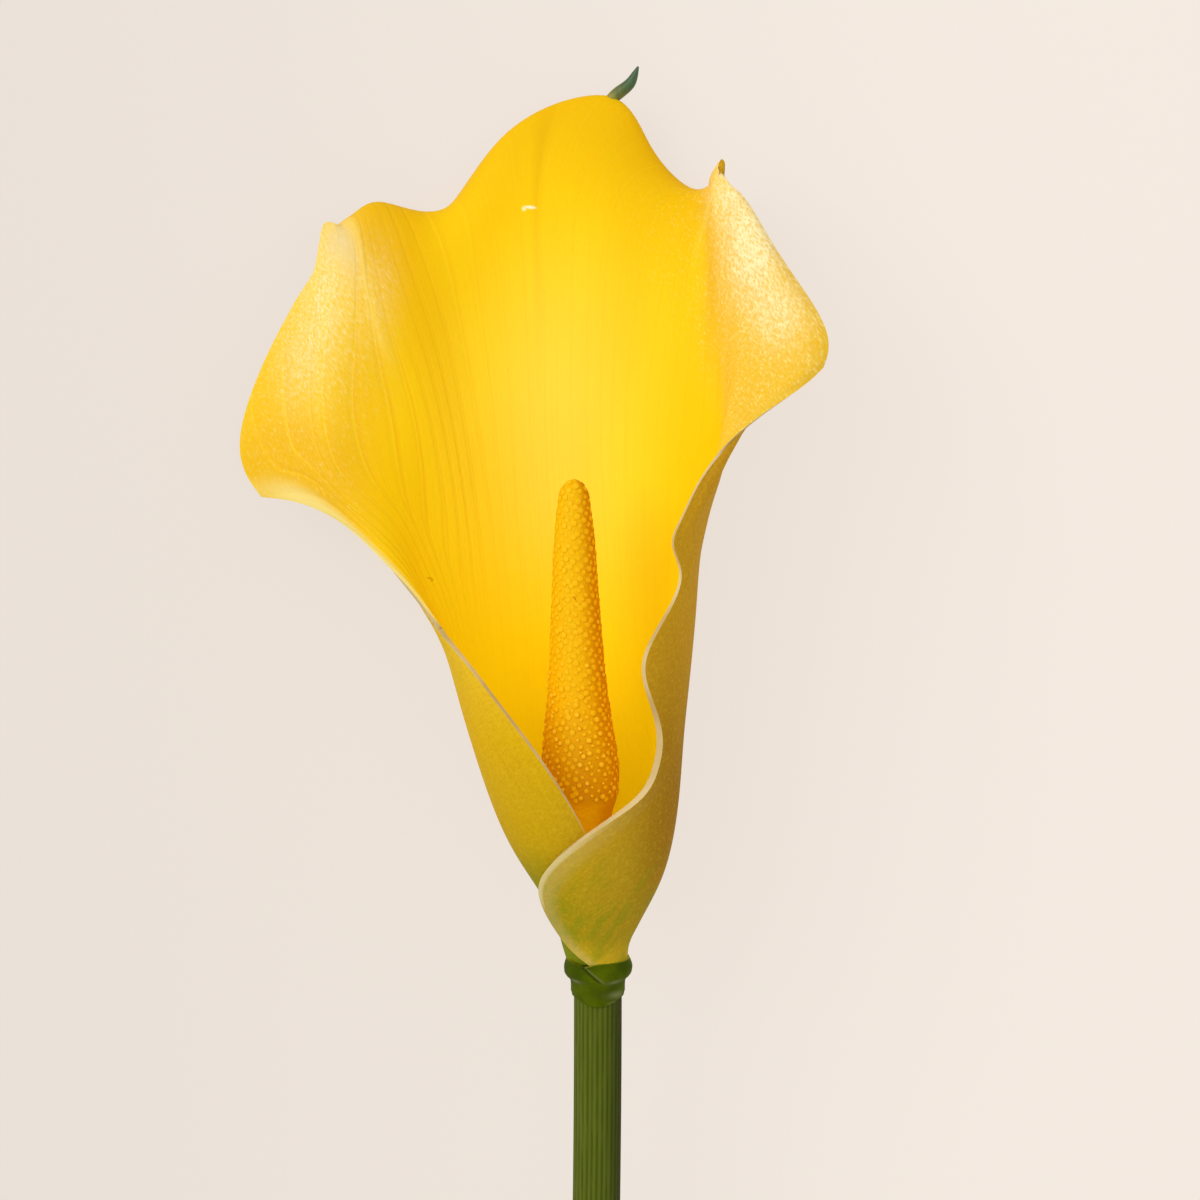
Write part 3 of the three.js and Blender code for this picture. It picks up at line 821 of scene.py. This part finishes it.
    @staticmethod
    def thicken(piece, edge_rounding, across, along):
        """Gives the sheet its thickness, less towards its edges, and rounds the free edges."""
        right_edge = 1 - (1 - THINNING["right"]) * grow(along, 0.42, 0.62)
        edge = np.where(across > 0, right_edge, THINNING["left"])
        inward = grow(1 - np.abs(across), 0, THINNING["inward"])
        down = grow(1 - along, 0, THINNING["down"])
        share = (edge + (1 - edge) * inward) * (THINNING["rim"] + (1 - THINNING["rim"]) * down)
        most = max(SHEET_THICKNESS.values())
        group = piece.vertex_groups.new(name="thickness")
        for index, weight in enumerate(sheet_thickness(along) * share / most):
            group.add([index], float(weight), "REPLACE")
        solid = piece.modifiers.new("thickness", "SOLIDIFY")
        solid.thickness = most * MM
        solid.offset = 0
        solid.vertex_group = group.name
        solid.use_rim = True
        solid.material_offset = 1
        solid.material_offset_rim = 2
        bevel = piece.modifiers.new("edges", "BEVEL")
        bevel.width = edge_rounding
        bevel.segments = 2
        bevel.limit_method = "ANGLE"
        bevel.angle_limit = math.radians(50)


class CALLA_OT_horn(Operator):
    """Add the green horn at the tip of the sheet"""

    bl_idname = "calla.horn"
    bl_label = "Add Horn"

    AROUND = 28
    RINGS = 44
    CLOSING = 0.1       # share of the rings that round off its hidden end
    STEP = 0.01         # share of its length over which its course is measured

    def execute(self, context):
        bm, turn, ring = closed_net(self.AROUND, self.RINGS)
        share = ring / self.RINGS
        rise = np.clip((share - self.CLOSING) / (1 - self.CLOSING), 0, 1)
        spine = natural_spline(HORN_POINTS)
        centre = np.array([spine(u) for u in rise])
        ahead = np.array([spine(min(u + self.STEP, 1)) - spine(max(u - self.STEP, 0)) for u in rise])
        radius = profile_at(np.linspace(0, 1, len(HORN_RADII)), HORN_RADII, rise)
        radius = radius * np.sqrt(np.clip(share / self.CLOSING, 0, 1)) * (share < 1)
        points = round_path(centre, ahead, FRONT - turn, radius)
        piece = closed_piece("spathe_horn", bm, points, "spathe", horn_green())
        keep_masks(piece, rise=rise)
        return {"FINISHED"}


def column_point(turn, radius, height):
    """A point of the column, turn measured from the back to the right."""
    lean = 1 - np.exp(-(height - COLUMN_BEND["from"]) / COLUMN_BEND["reach"])
    centre = rows(COLUMN_BEND["right"] * lean, height, COLUMN_BEND["front"] * lean)
    return centre + rows(radius * np.sin(turn), np.zeros_like(turn), -radius * np.cos(turn))


def column_profile(height):
    """Radius of the column's body at a height, its dome included."""
    top = COLUMN_HEIGHTS[-1]
    side = profile_at(COLUMN_HEIGHTS, COLUMN_RADII, np.minimum(height, top))
    dome = np.sqrt(np.clip(1 - (np.maximum(height - top, 0) / COLUMN_DOME) ** 2, 0, 1))
    return side * dome


def shaded_side(turn):
    """The column's right side, darkened by painted shade."""
    return grow(np.sin(turn), 0.15, 0.9)


class CALLA_OT_column(Operator):
    """Add the body of the column, from the sheet's foot to its blunt top"""

    bl_idname = "calla.column"
    bl_label = "Add Column"

    AROUND = 96
    SIDE_RINGS = 110
    DOME_RINGS = 14
    SINK = 0.12         # of the body under the tops of its florets, millimetres

    def execute(self, context):
        rings = 1 + self.SIDE_RINGS + self.DOME_RINGS
        bm, turn, ring = closed_net(self.AROUND, rings)
        foot, top = COLUMN_HEIGHTS[0], COLUMN_HEIGHTS[-1]
        up = np.clip((ring - 1) / self.SIDE_RINGS, 0, 1)
        over = np.clip((ring - 1 - self.SIDE_RINGS) / self.DOME_RINGS, 0, 1) * math.pi / 2
        height = foot + up * (top - foot) + COLUMN_DOME * np.sin(over)
        radius = np.maximum(column_profile(height) - self.SINK, 0) * (ring > 0) * (ring < rings)
        points = column_point(turn, radius, height)
        piece = closed_piece("column", bm, points, "spadix", column_orange())
        low = fade(height, 26, 46) * grow(height, 26.5, 29)
        # low: deeper orange lower down, and painted shade on the right side
        keep_masks(piece, low=np.maximum(low, shaded_side(turn)))
        return {"FINISHED"}


class CALLA_OT_florets(Operator):
    """Add the florets on the column: fine above, pale and proud below"""

    bl_idname = "calla.florets"
    bl_label = "Add Florets"

    GOLDEN_TURN = math.radians(137.508)
    PLAIN_STRIP = 0.2       # half width, in radians, of the plain strip down the front
    STRIP_TURN = math.radians(196)
    AROUND = 9
    RINGS = 6
    PACKING = 0.866         # area of a floret's place, over its spacing squared
    SEED = 7

    def execute(self, context):
        settings = context.scene.calla_column
        dice = np.random.default_rng(self.SEED)
        height, turn = self.spiral(settings.floret_spacing / MM)
        count = len(height)
        height = height + dice.normal(0, 0.13, count)
        turn = turn + dice.normal(0, 0.035, count)
        strip = np.abs(turn_gap(turn, self.STRIP_TURN)) < self.PLAIN_STRIP
        low = fade(height, 32, 58)
        pale = (dice.random(count) < settings.pale_share * low) & ~strip
        width = np.where(pale, dice.uniform(0.24, 0.5, count), dice.uniform(0.34, 0.54, count))
        proud = dice.uniform(0.2, 0.42, count) * (0.75 + 0.4 * low)
        rise = width * np.where(pale, 0.7, proud) * np.where(strip, 0.3, 1.0)
        tone = np.where(pale, dice.uniform(0.5, 1.0, count), 0.15 * dice.random(count))

        bm = bmesh.new()
        bmesh.ops.create_uvsphere(bm, u_segments=self.AROUND, v_segments=self.RINGS, radius=1.0)
        which = self.repeat(bm, count)
        dome = corners(bm)
        place_vertices(bm, self.domes(dome, height[which], turn[which], width[which], rise[which]))
        piece = finish_piece("florets", bm, "spadix", floret_gold())
        # deeper lower down, and painted shade on the right side
        deeper = np.maximum(fade(height, 28, 50), shaded_side(turn))
        keep_masks(piece, tip=np.clip(dome[:, 2], 0, 1) ** 1.5, pale=tone[which], low=deeper[which])
        return {"FINISHED"}

    def spiral(self, spacing):
        """Heights and turns at an even spacing over the column."""
        top = COLUMN_HEIGHTS[-1] + COLUMN_DOME
        fine = np.linspace(FLORETS_FROM + 0.4, top - 0.15, 2000)
        step = fine[1] - fine[0]
        area = np.cumsum(2 * math.pi * np.maximum(column_profile(fine), 0.6) * step)
        each = spacing ** 2 * self.PACKING
        count = int(area[-1] / each)
        heights = np.interp((np.arange(count) + 0.5) * each, area, fine)
        return heights, np.arange(count) * self.GOLDEN_TURN

    @staticmethod
    def repeat(bm, count):
        """Copies the one shape in the mesh until there are count; says which copy each vertex is."""
        copy = bm.verts.layers.int.new("floret")
        made = 1
        while made < count:
            more = min(made, count - made)
            some = [vertex for vertex in bm.verts if vertex[copy] < more]
            for items in (bm.edges, bm.faces):
                some += [item for item in items if item.verts[0][copy] < more]
            copied = bmesh.ops.duplicate(bm, geom=some)["geom"]
            for item in copied:
                if isinstance(item, bmesh.types.BMVert):
                    item[copy] += made
            made += more
        return np.array([vertex[copy] for vertex in bm.verts])

    @staticmethod
    def domes(dome, height, turn, width, rise):
        """Small domes that look straight out of the column, their lower halves sunk in."""
        step = 0.05
        slope = (column_profile(height + step) - column_profile(height - step)) / (2 * step)
        radius = column_profile(height) - CALLA_OT_column.SINK
        out = unit(rows(np.sin(turn), -slope, -np.cos(turn)))
        side = rows(np.cos(turn), np.zeros_like(turn), np.sin(turn))
        across, along = width[:, None] * dome[:, :1], width[:, None] * dome[:, 1:2]
        return (column_point(turn, radius, height) + across * side + along * np.cross(out, side)
                + rise[:, None] * dome[:, 2:] * out)


class CALLA_OT_stem(Operator):
    """Add the ribbed stem with its cut end"""

    bl_idname = "calla.stem"
    bl_label = "Add Stem"

    PER_RIB = 8
    SIDE_RINGS = 110
    CUT_RINGS = 8
    CUT_ROUNDING = 0.25     # of the cut end's edge, millimetres
    SEED = 11

    def execute(self, context):
        settings = context.scene.calla_stem
        rings = self.CUT_RINGS + self.SIDE_RINGS + 1
        bm, turn, ring = closed_net(settings.ribs * self.PER_RIB, rings)
        share = 1 - np.clip((ring - self.CUT_RINGS) / self.SIDE_RINGS, 0, 1)
        dice = np.random.default_rng(self.SEED)
        uneven = natural_spline(np.r_[dice.normal(0, 0.22, 40), 0])
        wobble = uneven((turn / (2 * math.pi)) % 1)
        rib = (0.5 + 0.5 * np.cos((turn + 0.03 * wobble) * settings.ribs)) ** 0.7
        depth = settings.rib_depth / MM
        radius = settings.radius / MM - depth * (1 - rib) * (1 + 0.3 * wobble)
        cut = np.clip(ring / self.CUT_RINGS, 0, 1)
        cut_radius = cut * (radius - self.CUT_ROUNDING * (1 - cut))
        radius = np.where(ring < self.CUT_RINGS, cut_radius, radius) * (ring < rings)
        for face in bm.faces:
            face.material_index = int(all(ring[v.index] <= self.CUT_RINGS for v in face.verts))
        piece = closed_piece("stem_stalk", bm, self.along_bow(turn, radius, share), "stem",
                             stem_green(), stem_cut())
        # shade: painted shade on the stem's right side
        keep_masks(piece, rib=rib, shade=0.7 * grow(np.sin(turn), 0.2, 1.0), rim=cut ** 8)
        return {"FINISHED"}

    @staticmethod
    def along_bow(turn, radius, share):
        """Points round the stem's bowed path, share 0 at its top and 1 at its cut end."""
        right, front, length = STEM_BOW["right"], STEM_BOW["front"], STEM_LENGTH + STEM_TOP
        centre = rows(right * share ** 2, STEM_TOP - length * share, front * share ** 2)
        ahead = rows(2 * right * share, np.full_like(share, -length), 2 * front * share)
        return round_path(centre, ahead, turn, radius)


class CALLA_OT_collar(Operator):
    """Add the green collar where the sheet meets the stem"""

    bl_idname = "calla.collar"
    bl_label = "Add Collar"

    AROUND = 180
    SIDE_RINGS = 84
    FILL_RINGS = 3
    GROOVE = {"turn": math.radians(219), "height": 5.7, "slope": math.radians(14), "depth": 0.3,
              "width": 0.22, "step": 0.16}
    KNUCKLE = {"height": 4.2, "reach": 0.9, "out": 0.1}
    FILLED_STEP = {"height": 2.3, "reach": 0.75, "out": 0.45}

    def execute(self, context):
        rings = self.SIDE_RINGS + 2 * self.FILL_RINGS
        bm, turn, ring = closed_net(self.AROUND, rings)
        rise = np.clip((ring - self.FILL_RINGS) / self.SIDE_RINGS, 0, 1)
        places = np.linspace(0, 1, len(COLLAR_OUTLINE))
        radius, height = (profile_at(places, line, rise) for line in zip(*COLLAR_OUTLINE))
        inward = np.clip(np.minimum(ring, rings - ring) / self.FILL_RINGS, 0, 1)
        front = np.clip(np.cos(turn - FRONT), 0, 1)
        right = np.sin(turn)
        # skirt: lowest in front; lip: dips where the sheet's edge runs in
        height = height + fade(height, -0.6, 0.9) * (1.1 * (1 - front ** 3) - 0.25)
        lip = grow(height, 4.6, 5.4)
        dip = self.around(turn, 204, 16)
        height = height + lip * (0.15 * right + 0.1 * np.sin(3 * turn) - 0.5 * dip)
        radius = radius + lip * 0.42 * self.around(turn, 212, 38)
        # knuckle on the right, flatter to the left
        knuckle = self.KNUCKLE["out"] * swell(height, self.KNUCKLE["height"], self.KNUCKLE["reach"])
        radius = radius + knuckle * grow(right, 0.5, 1.0)
        radius = radius + 0.06 * np.sin(2 * turn + 0.7) * grow(height, 0, 2)
        # the step between its rings runs out in front
        fill = swell(height, self.FILLED_STEP["height"], self.FILLED_STEP["reach"])
        radius = radius + self.FILLED_STEP["out"] * fill * front ** 5
        crease, ridge, radius = self.groove(turn, height, radius)
        points = rows(inward * radius * right, height, -inward * radius * np.cos(turn))
        piece = closed_piece("stem_collar", bm, points, "stem", collar_green())
        # painted shade in the crease between the rings and under the front
        ring_crease = swell(height, 2.25, 0.22) * (1 - front ** 4)
        under = self.around(turn, 180, 30) * swell(height, 0.7, 1.0)
        # painted highlights on the ring step and beside the groove, with the dry pale skin
        on_step = 0.4 * swell(height, 2.5, 0.3)
        skin = (0.45 * self.around(turn, 136, 20) * swell(height, 0.5, 0.5)
                + 0.35 * fade(height, -0.55, -0.25) * grow(right, 0.2, 0.8) + 0.35 * ridge
                + on_step * (self.around(turn, 228, 14) + self.around(turn, 146, 16)))
        keep_masks(piece, crease=np.clip(0.8 * crease + 0.5 * ring_crease + 0.5 * under, 0, 1),
                   lip=0.8 * grow(height + 0.5 * dip, 5.2, 5.5), skin=np.clip(skin, 0, 1))
        return {"FINISHED"}

    @staticmethod
    def around(turn, centre, width):
        """Soft patch round the collar, its centre and width in degrees."""
        return swell(turn_gap(turn, math.radians(centre)), 0, math.radians(width))

    def groove(self, turn, height, radius):
        """The sheet's edge runs on down the upper ring as a slanting groove with a raised side, painted shade
        in the groove and a painted highlight line beside it.
        """
        g = self.GROOVE
        gap = turn_gap(turn, g["turn"] - g["slope"] * (g["height"] - height)) * radius * 0.72
        on_ring = grow(height, 2.2, 2.9)
        cut = swell(gap, 0, g["width"]) * on_ring
        raised = fade(gap, -0.3, 0.0) * grow(gap, -3.0, -0.4) * on_ring
        # painted highlight line beside the groove
        ridge = swell(gap, -0.3, 0.14) * on_ring
        return cut, ridge, radius - g["depth"] * cut + g["step"] * raised


class CALLA_OT_stage(Operator):
    """Add the floor, the soft lights and the camera"""

    bl_idname = "calla.stage"
    bl_label = "Add Stage"

    # the camera looks down on the flower, as the photograph does
    VIEW_TARGET = (0.3, 56.4, 0.0)      # right, up, front of the flower, millimetres
    VIEW_TILT = math.radians(2.6)       # from straight down, towards the stem's side
    VIEW_DISTANCE = 600
    VIEW_WIDTH = 168                    # of the whole picture at the target
    SENSOR = 36
    FLOOR_REACH = 3.0                   # metres from its middle to its sides
    LIGHT_AIM = (0, 0.08, 0.02)

    def execute(self, context):
        settings = context.scene.calla_stage
        self.floor(settings)
        self.lights(settings)
        self.camera(context)
        context.scene.view_settings.view_transform = "Standard"
        return {"FINISHED"}

    def floor(self, settings):
        def paper(share):
            return (*(c * share for c in settings.floor), 1)

        bm = bmesh.new()
        bmesh.ops.create_grid(bm, x_segments=1, y_segments=1, size=self.FLOOR_REACH)
        f = Finish("floor_paper", rough=0.9, shine=0.0)
        plain = 1 - settings.glow
        f.set("Base Color", f.mix(f.grain(40, detail=4), paper(0.985 * plain), paper(plain)))
        # painted light: the floor glows a little brighter towards +X
        side = f.add("SeparateXYZ", "X", {"Vector": f.places()})
        f.set("Emission Color", f.mix(f.spread(side, -0.09, 0.09), paper(0.94), paper(1.06)))
        f.set("Emission Strength", settings.glow)
        add_mesh("floor", bm, [f.material])

    def lights(self, settings):
        world = bpy.data.worlds.new("soft_room")
        world.use_nodes = True
        background = world.node_tree.nodes["Background"]
        background.inputs["Color"].default_value = (1.0, 0.97, 0.94, 1)
        background.inputs["Strength"].default_value = settings.fill
        bpy.context.scene.world = world
        for name, place, size, watts in (
            ("key", (-0.6, 0.4, 0.65), 0.6, settings.key),
            ("top", (0.1, 0.3, 1.0), 0.8, settings.key * 0.25),
        ):
            data = bpy.data.lights.new(name, "AREA")
            data.size = size
            data.energy = watts
            light = add_object(name, data)
            light.location = place
            aim = Vector(self.LIGHT_AIM) - Vector(place)
            light.rotation_euler = aim.to_track_quat("-Z", "Y").to_euler()

    def camera(self, context):
        data = bpy.data.cameras.new("camera")
        data.sensor_width = self.SENSOR
        data.lens = self.SENSOR * self.VIEW_DISTANCE / self.VIEW_WIDTH
        data.clip_start = 0.01
        camera = add_object("camera", data)
        target = Vector(lay_down(np.array(self.VIEW_TARGET)))
        back = Vector((0, math.sin(self.VIEW_TILT), math.cos(self.VIEW_TILT)))
        camera.location = target + back * self.VIEW_DISTANCE * MM
        camera.rotation_euler = Euler((-self.VIEW_TILT, 0, 0))
        context.scene.camera = camera


class CALLA_PT_panel(Panel):
    """Settings and buttons of the calla lily"""

    bl_label = "Calla Lily"
    bl_idname = "CALLA_PT_panel"
    bl_space_type = "VIEW_3D"
    bl_region_type = "UI"
    bl_category = "Calla Lily"

    def draw(self, context):
        for name, (_, *operators) in GROUPS.items():
            box = self.layout.box()
            settings = getattr(context.scene, name)
            for key in settings.bl_rna.properties.keys():
                if key not in ("rna_type", "name"):
                    box.prop(settings, key)
            for operator in operators:
                box.operator(operator.bl_idname)


GROUPS = {
    "calla_sheet": (SheetSettings, CALLA_OT_sheet, CALLA_OT_horn),
    "calla_column": (ColumnSettings, CALLA_OT_column, CALLA_OT_florets),
    "calla_stem": (StemSettings, CALLA_OT_stem, CALLA_OT_collar),
    "calla_stage": (StageSettings, CALLA_OT_stage),
}
CLASSES = (*(cls for group in GROUPS.values() for cls in group), CALLA_PT_panel)


def register():
    for cls in CLASSES:
        bpy.utils.register_class(cls)
    for name, (settings, *_) in GROUPS.items():
        setattr(bpy.types.Scene, name, PointerProperty(type=settings))


def unregister():
    for name in GROUPS:
        delattr(bpy.types.Scene, name)
    for cls in reversed(CLASSES):
        bpy.utils.unregister_class(cls)


def main():
    register()
    bpy.ops.calla.sheet()
    bpy.ops.calla.horn()
    bpy.ops.calla.column()
    bpy.ops.calla.florets()
    bpy.ops.calla.stem()
    bpy.ops.calla.collar()
    bpy.ops.calla.stage()
    bpy.context.view_layer.update()


if __name__ == "__main__":
    main()
